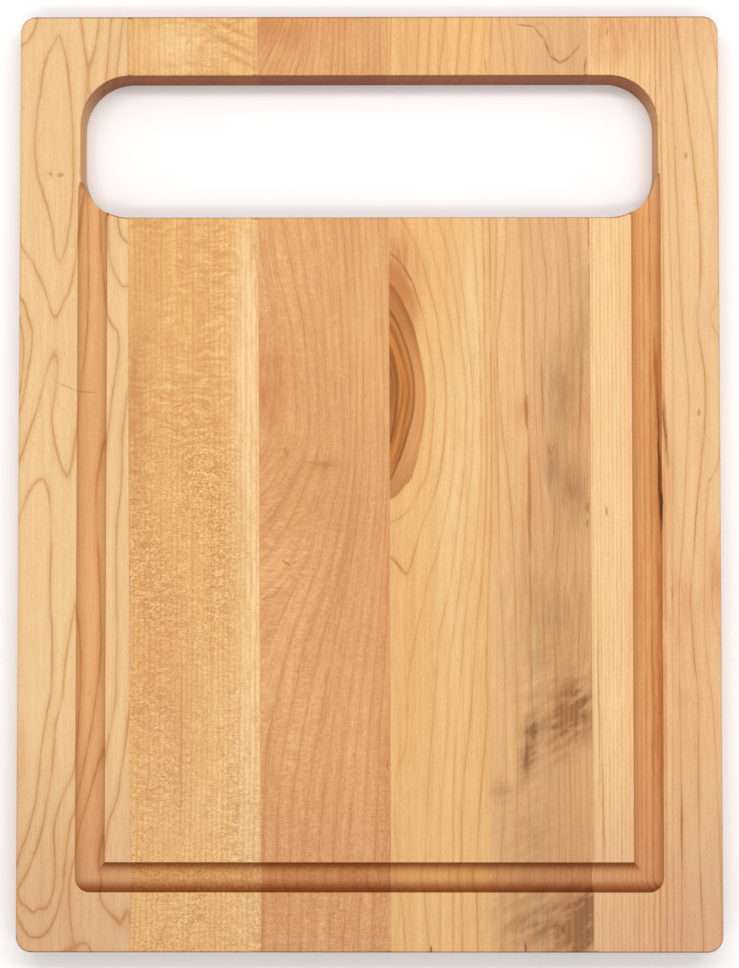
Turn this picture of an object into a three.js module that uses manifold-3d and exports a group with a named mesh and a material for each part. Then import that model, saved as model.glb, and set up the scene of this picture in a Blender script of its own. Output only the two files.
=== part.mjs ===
// Maple cutting board with a handle slot and a juice groove, edge-glued from five staves.
// Millimetres, +Z up. The origin is the centre of the underside, +X is to the right of the
// board and +Y points along it to the end with the handle slot.
import * as THREE from "three";
import { mergeVertices } from "three/addons/utils/BufferGeometryUtils.js";
import Module from "manifold-3d";

// Board blank
const WIDTH = 304.8;
const LENGTH = 406.4;
const THICKNESS = 19.05;
const CORNER_RADIUS = 6.8;
const EDGE_ROUNDING = 1.2;

// Handle slot, right through the board
const SLOT_HALF_WIDTH = 125.75;
const SLOT_BOTTOM_Y = 114.85;
const SLOT_TOP_Y = 177;
const SLOT_CORNER_RADIUS = 21.3;
const SLOT_ROUNDING = 0.6;
const SLOT_MIDDLE_Y = (SLOT_BOTTOM_Y + SLOT_TOP_Y) / 2;

// Juice groove: a round-nosed bit, sunk by its radius, runs down the left side, across the
// bottom and up the right side. Both ends of its path run out into the slot.
const GROOVE_RADIUS = 6.35;
const GROOVE_SIDE_X = 120.5;
const GROOVE_BOTTOM_Y = -170.9;
const GROOVE_LEFT_END_Y = 126.3;
const GROOVE_RIGHT_END_Y = 131;

// Seams between the staves, left to right: where each crosses the board's mid length, and
// how far it drifts to the side for each millimetre along the board.
const SEAMS = [
  { x: -104.3, drift: -0.0072 },
  { x: -47.7, drift: -0.0059 },
  { x: 8.9, drift: -0.003 },
  { x: 96.1, drift: -0.0025 },
];
const GLUE_THICKNESS = 0.13;
const GLUE_CLEARANCE = 0.01;

// Pieces, left to right. A middle stave is cut in two by the slot.
const RAILS = [
  { name: "left_rail_stave", colour: 0xe9c88f },
  { name: "right_rail_stave", colour: 0xecca98 },
];
const MIDDLE_STAVES = [
  { place: "left", colour: 0xdfb06c },
  { place: "middle", colour: 0xd49f68 },
  { place: "right", colour: 0xe0b67e },
];
const GLUE_COLOUR = 0xb98b52;
const WOOD_ROUGHNESS = 0.55;
const GLUE_ROUGHNESS = 0.4;

// Facets
const CORNER_FACETS = 6; // half the facets of a quarter turn
const ROUNDING_FACETS = 3;
const BIT_FACETS = 32; // round a full circle of the bit
const BEYOND = 20; // how far a cutter or a dividing prism passes the board

const wasm = await Module();
wasm.setup();

function solidFrom(geometry) {
  const bare = geometry.clone();
  bare.deleteAttribute("normal");
  bare.deleteAttribute("uv");
  const merged = mergeVertices(bare);
  return new wasm.Manifold(
    new wasm.Mesh({
      numProp: 3,
      vertProperties: new Float32Array(merged.attributes.position.array),
      triVerts: new Uint32Array(merged.index.array),
    }),
  );
}

function meshFrom(solid, name, material) {
  const { vertProperties, triVerts } = solid.getMesh();
  const geometry = new THREE.BufferGeometry();
  geometry.setAttribute("position", new THREE.BufferAttribute(vertProperties, 3));
  geometry.setIndex(new THREE.BufferAttribute(triVerts, 1));
  geometry.computeVertexNormals();
  const mesh = new THREE.Mesh(geometry, material);
  mesh.name = name;
  return mesh;
}

function roundedRectangle(path, halfWidth, bottom, top, radius) {
  path.moveTo(halfWidth, bottom + radius);
  path.absarc(halfWidth - radius, top - radius, radius, 0, Math.PI / 2);
  path.absarc(-halfWidth + radius, top - radius, radius, Math.PI / 2, Math.PI);
  path.absarc(-halfWidth + radius, bottom + radius, radius, Math.PI, 1.5 * Math.PI);
  path.absarc(halfWidth - radius, bottom + radius, radius, 1.5 * Math.PI, 2 * Math.PI);
  return path;
}

// A slab of the board's thickness whose edges, and those of its holes, are rounded.
function slab(shape, rounding) {
  const geometry = new THREE.ExtrudeGeometry(shape, {
    depth: THICKNESS - 2 * rounding,
    curveSegments: CORNER_FACETS,
    bevelThickness: rounding,
    bevelSize: rounding,
    bevelOffset: -rounding,
    bevelSegments: ROUNDING_FACETS,
  });
  geometry.translate(0, 0, rounding);
  return solidFrom(geometry);
}

function blank() {
  const outline = roundedRectangle(
    new THREE.Shape(), WIDTH / 2, -LENGTH / 2, LENGTH / 2, CORNER_RADIUS,
  );
  const slotted = roundedRectangle(
    new THREE.Shape(), WIDTH / 2 + BEYOND, -LENGTH / 2 - BEYOND, LENGTH / 2 + BEYOND, CORNER_RADIUS,
  );
  slotted.holes.push(
    roundedRectangle(
      new THREE.Path(), SLOT_HALF_WIDTH, SLOT_BOTTOM_Y, SLOT_TOP_Y, SLOT_CORNER_RADIUS,
    ),
  );
  return slab(outline, EDGE_ROUNDING).intersect(slab(slotted, SLOT_ROUNDING));
}

// One straight run of the bit, whose axis lies in the board's top face.
function grooveRun(x1, y1, x2, y2) {
  const length = Math.hypot(x2 - x1, y2 - y1);
  const geometry = new THREE.CylinderGeometry(GROOVE_RADIUS, GROOVE_RADIUS, length, BIT_FACETS);
  if (y1 === y2) geometry.rotateZ(Math.PI / 2);
  geometry.translate((x1 + x2) / 2, (y1 + y2) / 2, THICKNESS);
  return solidFrom(geometry);
}

// The bit's nose where the path turns or ends, with its poles on the bit's own axis.
function grooveNose(x, y) {
  const geometry = new THREE.SphereGeometry(GROOVE_RADIUS, BIT_FACETS, BIT_FACETS / 2);
  geometry.rotateX(Math.PI / 2);
  geometry.translate(x, y, THICKNESS);
  return solidFrom(geometry);
}

function groove() {
  const path = [
    [-GROOVE_SIDE_X, GROOVE_LEFT_END_Y],
    [-GROOVE_SIDE_X, GROOVE_BOTTOM_Y],
    [GROOVE_SIDE_X, GROOVE_BOTTOM_Y],
    [GROOVE_SIDE_X, GROOVE_RIGHT_END_Y],
  ];
  let cutter = grooveNose(...path[0]);
  for (let i = 1; i < path.length; i++) {
    cutter = cutter.add(grooveRun(...path[i - 1], ...path[i])).add(grooveNose(...path[i]));
  }
  return cutter;
}

const seamX = (seam, y) => seam.x + seam.drift * y;

// An upright prism between two lines along the board; each side is a seam and how far to its
// right the line lies, or, for a side that is past the board, a plain x.
function between(left, right, bottom, top) {
  const lineX = (side, y) => (typeof side === "number" ? side : seamX(side.seam, y) + side.offset);
  const shape = new THREE.Shape([
    new THREE.Vector2(lineX(left, bottom), bottom),
    new THREE.Vector2(lineX(right, bottom), bottom),
    new THREE.Vector2(lineX(right, top), top),
    new THREE.Vector2(lineX(left, top), top),
  ]);
  const geometry = new THREE.ExtrudeGeometry(shape, {
    depth: THICKNESS + 2 * BEYOND,
    bevelEnabled: false,
  });
  geometry.translate(0, 0, -BEYOND);
  return solidFrom(geometry);
}

const BOARD = blank().subtract(groove());
const FAR_LEFT = -WIDTH / 2 - BEYOND;
const FAR_RIGHT = WIDTH / 2 + BEYOND;
const FAR_BOTTOM = -LENGTH / 2 - BEYOND;
const FAR_TOP = LENGTH / 2 + BEYOND;
const GLUE_REACH = GLUE_THICKNESS / 2;
const WOOD_REACH = GLUE_REACH + GLUE_CLEARANCE;

const wood = (colour) => new THREE.MeshStandardMaterial({
  color: colour,
  roughness: WOOD_ROUGHNESS,
  metalness: 0,
});
const glue = new THREE.MeshStandardMaterial({
  color: GLUE_COLOUR,
  roughness: GLUE_ROUGHNESS,
  metalness: 0,
});

const rightOf = (seam, offset) => ({ seam, offset });
const leftOf = (seam, offset) => ({ seam, offset: -offset });

function rails() {
  const sides = [
    [FAR_LEFT, leftOf(SEAMS[0], WOOD_REACH)],
    [rightOf(SEAMS[SEAMS.length - 1], WOOD_REACH), FAR_RIGHT],
  ];
  const group = new THREE.Group();
  RAILS.forEach(({ name, colour }, i) => {
    const solid = BOARD.intersect(between(...sides[i], FAR_BOTTOM, FAR_TOP));
    group.add(meshFrom(solid, name, wood(colour)));
  });
  return group;
}

// The middle staves' pieces on one side of the slot: the handle bar or the cutting surface.
function middlePieces(prefix, bottom, top) {
  const group = new THREE.Group();
  MIDDLE_STAVES.forEach(({ place, colour }, i) => {
    const prism = between(
      rightOf(SEAMS[i], WOOD_REACH), leftOf(SEAMS[i + 1], WOOD_REACH), bottom, top,
    );
    group.add(meshFrom(BOARD.intersect(prism), `${prefix}_${place}_stave`, wood(colour)));
  });
  return group;
}

// The cured glue in the four seams on one side of the slot.
function glueLines(suffix, bottom, top) {
  const group = new THREE.Group();
  SEAMS.forEach((seam, i) => {
    const film = between(leftOf(seam, GLUE_REACH), rightOf(seam, GLUE_REACH), bottom, top);
    group.add(meshFrom(BOARD.intersect(film), `glue_line_${i + 1}_${suffix}`, glue));
  });
  return group;
}

const cuttingBoard = new THREE.Group();
cuttingBoard.add(
  rails(),
  middlePieces("handle_bar", SLOT_MIDDLE_Y, FAR_TOP),
  middlePieces("cutting_surface", FAR_BOTTOM, SLOT_MIDDLE_Y),
  glueLines("handle_bar", SLOT_MIDDLE_Y, FAR_TOP),
  glueLines("cutting_surface", FAR_BOTTOM, SLOT_MIDDLE_Y),
);

export default cuttingBoard;
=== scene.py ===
"""Looks of the maple cutting board: eight staves of solid wood with their own grain.

Lengths are in millimetres up to the point where a mesh is made. x runs across the board, y
along it towards the handle slot, and z up from the underside.
"""

import math

import bpy
import numpy as np
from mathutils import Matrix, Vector
from mathutils.geometry import delaunay_2d_cdt


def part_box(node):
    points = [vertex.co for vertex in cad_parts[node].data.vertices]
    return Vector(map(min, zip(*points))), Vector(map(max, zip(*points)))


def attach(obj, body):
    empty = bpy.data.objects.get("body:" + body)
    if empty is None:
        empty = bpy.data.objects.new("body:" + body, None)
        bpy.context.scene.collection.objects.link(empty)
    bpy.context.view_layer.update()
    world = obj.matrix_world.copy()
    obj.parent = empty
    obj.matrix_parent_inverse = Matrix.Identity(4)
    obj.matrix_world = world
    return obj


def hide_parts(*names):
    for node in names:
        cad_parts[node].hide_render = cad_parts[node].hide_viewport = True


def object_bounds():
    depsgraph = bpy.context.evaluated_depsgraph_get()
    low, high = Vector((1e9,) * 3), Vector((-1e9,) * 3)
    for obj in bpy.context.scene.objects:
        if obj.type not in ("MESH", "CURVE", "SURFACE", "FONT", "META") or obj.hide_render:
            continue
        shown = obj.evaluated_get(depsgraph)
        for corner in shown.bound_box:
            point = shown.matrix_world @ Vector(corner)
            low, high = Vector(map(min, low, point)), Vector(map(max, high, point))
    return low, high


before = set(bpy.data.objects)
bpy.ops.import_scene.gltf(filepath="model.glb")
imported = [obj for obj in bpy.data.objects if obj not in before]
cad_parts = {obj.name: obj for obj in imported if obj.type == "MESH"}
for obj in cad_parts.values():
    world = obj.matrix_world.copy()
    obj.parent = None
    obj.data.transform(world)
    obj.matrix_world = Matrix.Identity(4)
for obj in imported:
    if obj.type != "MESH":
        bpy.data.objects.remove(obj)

MM = 0.001
CAD_LOW, CAD_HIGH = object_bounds()

# ---- The board, as the frame gives it ----

HALF_WIDTH = CAD_HIGH.x / MM
HALF_LENGTH = CAD_HIGH.y / MM
THICKNESS = CAD_HIGH.z / MM
SLOT_BOTTOM_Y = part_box("cutting_surface_middle_stave")[1].y / MM
SLOT_TOP_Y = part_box("handle_bar_middle_stave")[0].y / MM
SLOT_MIDDLE_Y = (SLOT_BOTTOM_Y + SLOT_TOP_Y) / 2
SLOT_HALF_HEIGHT = (SLOT_TOP_Y - SLOT_BOTTOM_Y) / 2

# The same shapes as in the CAD model, without its facets
CORNER_RADIUS = 6.8
EDGE_ROUNDING = 1.2
SLOT_HALF_WIDTH = 125.75
SLOT_CORNER_RADIUS = 21.3
SLOT_ROUNDING = 0.6
GROOVE_RADIUS = 6.35
GROOVE_SIDE_X = 120.5
GROOVE_BOTTOM_Y = -170.9
GROOVE_LEFT_END_Y = 126.3
GROOVE_RIGHT_END_Y = 131.0
GROOVE_LIP = 0.3  # the sanded edge of the groove
GLUE_CLEARANCE = 0.01  # between a glue film and the wood beside it
FACE_GAP = 0.075  # from the middle of a glue film to the wood beside it

# Parts that arcs are cut into
CORNER_PARTS = 14
SLOT_CORNER_PARTS = 34
GROOVE_TURN_PARTS = 12
GROOVE_PARTS = 9  # half the groove's round section
EDGE_PARTS = 6
SLOT_EDGE_PARTS = 4

# Gaps and spacings between the points of a plan
LEAST_GAP = 0.01
CLOSE_GAP = 0.05  # between a rail's seam and the first point on the slot's corner
POLAR_MARGIN = 0.2  # between the points round a turn and the rows and columns
CORNER_MARGIN = 0.3  # the same at the board's corners
PAST_ROUNDING = 0.4  # from a rounding to the first row on the flat
ROW_SHARE = 0.45  # of the spacing, between a regular row and one on a rounding
SEAM_SHARE = 0.35  # of the spacing, between a seam and the points beside it
GROOVE_END_STEP = 0.6

# ---- Heights of the top and the underside ----


def inside_rounded_rectangle(x, y, half_x, half_y, radius):
    """Distance inside a rounded rectangle round the origin; negative outside it."""
    over_x = np.abs(x) - (half_x - radius)
    over_y = np.abs(y) - (half_y - radius)
    corner = np.hypot(np.maximum(over_x, 0), np.maximum(over_y, 0))
    return radius - corner - np.minimum(np.maximum(over_x, over_y), 0)


def inside_outline(x, y):
    return inside_rounded_rectangle(x, y, HALF_WIDTH, HALF_LENGTH, CORNER_RADIUS)


def outside_slot(x, y):
    return -inside_rounded_rectangle(
        x, y - SLOT_MIDDLE_Y, SLOT_HALF_WIDTH, SLOT_HALF_HEIGHT, SLOT_CORNER_RADIUS
    )


def groove_distance(x, y):
    """Distance to the path of the bit: down the left, across the bottom, up the right."""
    end_y = np.where(x < 0, GROOVE_LEFT_END_Y, GROOVE_RIGHT_END_Y)
    past_y = y - np.clip(y, GROOVE_BOTTOM_Y, end_y)
    side = np.hypot(np.abs(x) - GROOVE_SIDE_X, past_y)
    past_x = np.abs(x) - np.clip(np.abs(x), 0, GROOVE_SIDE_X)
    bottom = np.hypot(past_x, y - GROOVE_BOTTOM_Y)
    return np.minimum(side, bottom)


def quarter_round(distance, radius):
    """How far an edge of this rounding falls away at a distance inside it."""
    reach = np.clip(radius - distance, 0, radius)
    return radius - np.sqrt(radius**2 - reach**2)


def groove_depth(x, y):
    distance = groove_distance(x, y)
    bowl = np.sqrt(np.maximum(GROOVE_RADIUS**2 - distance**2, 0))
    return np.maximum(bowl, quarter_round(distance - GROOVE_RADIUS, GROOVE_LIP))


def edge_drop(x, y):
    outer = quarter_round(inside_outline(x, y), EDGE_ROUNDING)
    return np.maximum(outer, quarter_round(outside_slot(x, y), SLOT_ROUNDING))


# ---- Plan of a stave: points in rows and columns that follow every rounding and the groove ----


def rounding_steps(radius, count):
    """Distances inside an edge that cut its rounding into equal angles."""
    angles = [math.pi / 2 * (i + 1) / count for i in range(count)]
    return [radius * (1 - math.cos(a)) for a in angles] + [radius + PAST_ROUNDING]


def groove_steps():
    """Distances from the bit's path that cut its round bottom into equal angles."""
    angles = [math.pi / 2 * i / GROOVE_PARTS for i in range(GROOVE_PARTS)]
    lip = [0.0, 0.29, 0.71, 1.0, 2.2]
    across = [GROOVE_RADIUS * math.sin(a) for a in angles]
    return across + [GROOVE_RADIUS + GROOVE_LIP * part for part in lip]


EDGE_STEPS = rounding_steps(EDGE_ROUNDING, EDGE_PARTS)
SLOT_STEPS = rounding_steps(SLOT_ROUNDING, SLOT_EDGE_PARTS)
GROOVE_STEPS = groove_steps()


def beside(place, steps, ways=(1,)):
    return [place + way * step for way in ways for step in steps]


def merged(special, step, low, high):
    """Special values and a regular spacing between them, in order."""
    special = sorted(set(round(v, 5) for v in special if low < v < high))
    regular = np.arange(low + step / 2, high, step)
    free = [v for v in regular if min(abs(v - s) for s in special) > ROW_SHARE * step]
    return sorted(special + free)


def grid_rows(step):
    special = beside(HALF_LENGTH, EDGE_STEPS, (-1,)) + beside(-HALF_LENGTH, EDGE_STEPS)
    special += beside(SLOT_BOTTOM_Y, SLOT_STEPS, (-1,)) + beside(SLOT_TOP_Y, SLOT_STEPS)
    special += beside(GROOVE_BOTTOM_Y, GROOVE_STEPS, (1, -1))
    return merged(special, step, -HALF_LENGTH, HALF_LENGTH)


def grid_columns(step):
    special = beside(HALF_WIDTH, EDGE_STEPS, (-1,)) + beside(SLOT_HALF_WIDTH, SLOT_STEPS)
    special += beside(GROOVE_SIDE_X, GROOVE_STEPS, (1, -1))
    right = merged(special, step, 0, HALF_WIDTH)
    return [-x for x in reversed(right)] + right


def along(values, start, end):
    """The values strictly between two ends, in the order from start to end."""
    low, high = min(start, end) + LEAST_GAP, max(start, end) - LEAST_GAP
    chosen = [v for v in values if low < v < high]
    return chosen if start < end else chosen[::-1]


def arc(centre, radius, start, end, count):
    """Points on an arc, given in quarter turns, without its two ends."""
    angles = [math.pi / 2 * (start + (end - start) * i / count) for i in range(1, count)]
    return [(centre[0] + radius * math.cos(a), centre[1] + radius * math.sin(a)) for a in angles]


def slot_edge(x, side):
    """y of the slot's lower (side -1) or upper (side 1) edge."""
    reach = max(abs(x) - (SLOT_HALF_WIDTH - SLOT_CORNER_RADIUS), 0)
    bulge = SLOT_CORNER_RADIUS - math.sqrt(SLOT_CORNER_RADIUS**2 - reach**2)
    return SLOT_MIDDLE_Y + side * (SLOT_HALF_HEIGHT - bulge)


class Seam:
    """The straight glue line between two staves, read from its film in the frame."""

    def __init__(self, number):
        low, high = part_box(f"glue_line_{number}_cutting_surface")
        half_film = FACE_GAP - GLUE_CLEARANCE
        self.bottom = high.x / MM - half_film
        self.drift = (low.x - high.x) / MM + 2 * half_film
        self.drift /= (high.y - low.y) / MM

    def x(self, y, offset=0.0):
        return self.bottom + self.drift * (y + HALF_LENGTH) + offset


SEAMS = [Seam(number) for number in (1, 2, 3, 4)]


def rail_loop(side, rows, columns):
    """Outline of a rail, anticlockwise; it is drawn for the right one and mirrored."""
    seam = SEAMS[0] if side < 0 else SEAMS[-1]

    def seam_x(y):
        return side * seam.x(y, side * FACE_GAP)

    def level(y, start, end):
        return [(x, y) for x in along(columns, start, end)]

    def upright(x, start, end):
        return [(x, y) for y in along(rows, start, end)]

    def beside_seam(start, end):
        return [(seam_x(y), y) for y in along(rows, start, end)]

    def slot_turn(y, start, end, parts, limit_x):
        turn = arc((slot_x, y), SLOT_CORNER_RADIUS, start, end, parts)
        return [point for point in turn if point[0] > limit_x + CLOSE_GAP]

    corner_x, corner_y = HALF_WIDTH - CORNER_RADIUS, HALF_LENGTH - CORNER_RADIUS
    slot_x = SLOT_HALF_WIDTH - SLOT_CORNER_RADIUS
    slot_low, slot_high = SLOT_BOTTOM_Y + SLOT_CORNER_RADIUS, SLOT_TOP_Y - SLOT_CORNER_RADIUS
    bar_y, surface_y = slot_edge(seam_x(SLOT_TOP_Y), 1), slot_edge(seam_x(SLOT_BOTTOM_Y), -1)
    top_x, bar_x = seam_x(HALF_LENGTH), seam_x(bar_y)
    surface_x, bottom_x = seam_x(surface_y), seam_x(-HALF_LENGTH)

    loop = [
        (bottom_x, -HALF_LENGTH),
        *level(-HALF_LENGTH, bottom_x, corner_x),
        (corner_x, -HALF_LENGTH),
        *arc((corner_x, -corner_y), CORNER_RADIUS, -1, 0, CORNER_PARTS),
        (HALF_WIDTH, -corner_y),
        *upright(HALF_WIDTH, -corner_y, corner_y),
        (HALF_WIDTH, corner_y),
        *arc((corner_x, corner_y), CORNER_RADIUS, 0, 1, CORNER_PARTS),
        (corner_x, HALF_LENGTH),
        *level(HALF_LENGTH, corner_x, top_x),
        (top_x, HALF_LENGTH),
        *beside_seam(HALF_LENGTH, bar_y),
        (bar_x, bar_y),
        *level(SLOT_TOP_Y, bar_x, slot_x),
        *slot_turn(slot_high, 1, 0, SLOT_CORNER_PARTS, bar_x),
        (SLOT_HALF_WIDTH, slot_high),
        *upright(SLOT_HALF_WIDTH, slot_high, slot_low),
        (SLOT_HALF_WIDTH, slot_low),
        *slot_turn(slot_low, 0, -1, 2 * SLOT_CORNER_PARTS, surface_x),
        *level(SLOT_BOTTOM_Y, slot_x, surface_x),
        (surface_x, surface_y),
        *beside_seam(surface_y, -HALF_LENGTH),
    ]
    return loop if side > 0 else [(-x, y) for x, y in reversed(loop)]


def middle_loop(left, right, kind, rows, columns):
    """Outline of a middle stave's piece, anticlockwise: handle bar or cutting surface."""
    if kind == "bar":
        low, high = (lambda x: slot_edge(x, 1)), (lambda x: HALF_LENGTH)
    else:
        low, high = (lambda x: -HALF_LENGTH), (lambda x: slot_edge(x, -1))

    def corner(seam, offset, edge):
        y = edge(seam.x(edge(0), offset))
        return seam.x(y, offset), y

    low_left, low_right = corner(left, FACE_GAP, low), corner(right, -FACE_GAP, low)
    high_left, high_right = corner(left, FACE_GAP, high), corner(right, -FACE_GAP, high)
    return [
        low_left,
        *((x, low(x)) for x in along(columns, low_left[0], low_right[0])),
        low_right,
        *((right.x(y, -FACE_GAP), y) for y in along(rows, low_right[1], high_right[1])),
        high_right,
        *((x, high(x)) for x in along(columns, high_right[0], high_left[0])),
        high_left,
        *((left.x(y, FACE_GAP), y) for y in along(rows, high_left[1], low_left[1])),
    ]


def polar_points():
    """Points round the corners of the board, the slot and the groove's outer turns."""
    points = []

    def turns(centre, radii, quarter, parts):
        for radius in radii:
            points.extend(arc(centre, radius, quarter, quarter + 1, parts))

    for side, quarters in ((-1, (2, 1)), (1, (3, 0))):
        for end, quarter in zip((-1, 1), quarters):
            centre = (side * (HALF_WIDTH - CORNER_RADIUS), end * (HALF_LENGTH - CORNER_RADIUS))
            turns(centre, beside(CORNER_RADIUS, EDGE_STEPS, (-1,)), quarter, CORNER_PARTS)
            centre = (side * (SLOT_HALF_WIDTH - SLOT_CORNER_RADIUS),
                      SLOT_MIDDLE_Y + end * (SLOT_HALF_HEIGHT - SLOT_CORNER_RADIUS))
            turns(centre, beside(SLOT_CORNER_RADIUS, SLOT_STEPS), quarter, SLOT_CORNER_PARTS)
        centre = (side * GROOVE_SIDE_X, GROOVE_BOTTOM_Y)
        turns(centre, GROOVE_STEPS[1:], quarters[0], GROOVE_TURN_PARTS)
    return np.array(points)


def grid_points(rows, columns):
    """The rows' and columns' crossings, with the stretches left out that polar points fill."""
    x, y = (values.ravel() for values in np.meshgrid(columns, rows))
    corner = (np.abs(x) > HALF_WIDTH - CORNER_RADIUS) & (np.abs(y) > HALF_LENGTH - CORNER_RADIUS)
    corner &= inside_outline(x, y) < EDGE_STEPS[-1] + CORNER_MARGIN
    slot_corner = np.abs(y - SLOT_MIDDLE_Y) > SLOT_HALF_HEIGHT - SLOT_CORNER_RADIUS
    slot_corner &= np.abs(x) > SLOT_HALF_WIDTH - SLOT_CORNER_RADIUS
    slot_corner &= outside_slot(x, y) < SLOT_STEPS[-1] + POLAR_MARGIN
    turn = (np.abs(x) > GROOVE_SIDE_X) & (y < GROOVE_BOTTOM_Y)
    turn &= groove_distance(x, y) < GROOVE_STEPS[-1] + POLAR_MARGIN
    kept = ~(corner | slot_corner | turn)
    return np.stack([x[kept], y[kept]], 1)


def groove_end_points():
    """Close points where the groove runs out into the slot."""
    across = beside(GROOVE_SIDE_X, GROOVE_STEPS, (1, -1))
    first, last = SLOT_BOTTOM_Y - 2 * GROOVE_END_STEP, GROOVE_RIGHT_END_Y + 5 * GROOVE_END_STEP
    down = np.arange(first, last, GROOVE_END_STEP)
    grid = np.array([(side * x, y) for side in (-1, 1) for x in across for y in down])
    return grid[outside_slot(grid[:, 0], grid[:, 1]) > SLOT_STEPS[-1] + POLAR_MARGIN]


def piece_points(left, right, kind, rows, columns, step):
    """Inner points of a piece between its seams; a rail has only one."""
    points = np.concatenate([grid_points(rows, columns), polar_points(), groove_end_points()])
    x, y = points.T
    near = SEAM_SHARE * step
    kept = (inside_outline(x, y) > LEAST_GAP) & (outside_slot(x, y) > LEAST_GAP)
    if left is not None:
        kept &= x > left.x(y, FACE_GAP) + near
    if right is not None:
        kept &= x < right.x(y, -FACE_GAP) - near
    if kind == "bar":
        kept &= y > SLOT_MIDDLE_Y
    if kind == "surface":
        kept &= y < SLOT_MIDDLE_Y
    return points[kept]


def without_close_pairs(loop, inner):
    """The loop's points first, then the inner points that lie on no other point."""
    def cell(point):
        return tuple(round(value / (2 * LEAST_GAP)) for value in point)

    taken = {cell(point) for point in loop}
    chosen = []
    for point in inner:
        if cell(point) not in taken:
            taken.add(cell(point))
            chosen.append(point)
    return loop + chosen


def mitre_edges(points):
    """Pairs of points along the ridges where the groove's runs meet at their inner corners."""
    where = {(round(x, 3), round(y, 3)): i for i, (x, y) in enumerate(points)}
    edges = []
    for side in (-1, 1):
        keys = [
            (round(side * (GROOVE_SIDE_X - s), 3), round(GROOVE_BOTTOM_Y + s, 3))
            for s in GROOVE_STEPS[:-1]
        ]
        ridge = [where[key] for key in keys if key in where]
        edges += list(zip(ridge, ridge[1:]))
    return edges


# ---- Growth: each stave's own field of growth lines ----


LINE_STEP = 5.0  # between points on a growth line
SMOOTHING = 0.002


def smooth_line(points):
    """Points at even steps on the smooth curve through given ones."""
    p = np.array(points, float)
    if len(p) < 3:
        ends = p if len(p) > 1 else np.repeat(p, 2, 0)
        count = max(int(np.hypot(*(ends[1] - ends[0])) / (2 * LINE_STEP)), 1)
        return np.linspace(ends[0], ends[1], count + 1)
    padded = np.concatenate([[2 * p[0] - p[1]], p, [2 * p[-1] - p[-2]]])
    curve = []
    for a, b, c, d in zip(padded, padded[1:], padded[2:], padded[3:]):
        count = max(int(np.hypot(*(c - b)) / LINE_STEP), 1)
        for i in range(count):
            t = i / count
            bend = (2 * a - 5 * b + 4 * c - d) * t**2 + (3 * b - a - 3 * c + d) * t**3
            curve.append(b + 0.5 * ((c - a) * t + bend))
    return np.array(curve + [p[-1]])


class Growth:
    """A smooth surface through growth lines: on each line it has that line's number."""

    def __init__(self, lines, squeeze=0.22):
        curves = [(number, smooth_line(points)) for number, points in lines]
        self.scale = np.array([0.1, 0.1 * squeeze])
        self.centres = np.concatenate([curve for _, curve in curves]) * self.scale
        levels = np.concatenate([np.full(len(curve), float(n)) for n, curve in curves])
        count = len(self.centres)
        system = np.zeros((count + 3, count + 3))
        system[:count, :count] = self.kernel(self.centres) + SMOOTHING * np.eye(count)
        plane = np.column_stack([np.ones(count), self.centres])
        system[:count, count:] = plane
        system[count:, :count] = plane.T
        self.weights = np.linalg.solve(system, np.concatenate([levels, np.zeros(3)]))

    def kernel(self, places):
        gap = places[:, None, :] - self.centres[None, :, :]
        squared = (gap**2).sum(2) + 1e-12
        return 0.5 * squared * np.log(squared)

    def __call__(self, x, y):
        places = np.stack([x, y], 1) * self.scale
        values = []
        for part in np.array_split(places, max(len(places) // 4000, 1)):
            plane = np.column_stack([np.ones(len(part)), part])
            values.append(np.hstack([self.kernel(part), plane]) @ self.weights)
        return np.concatenate(values)


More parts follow.
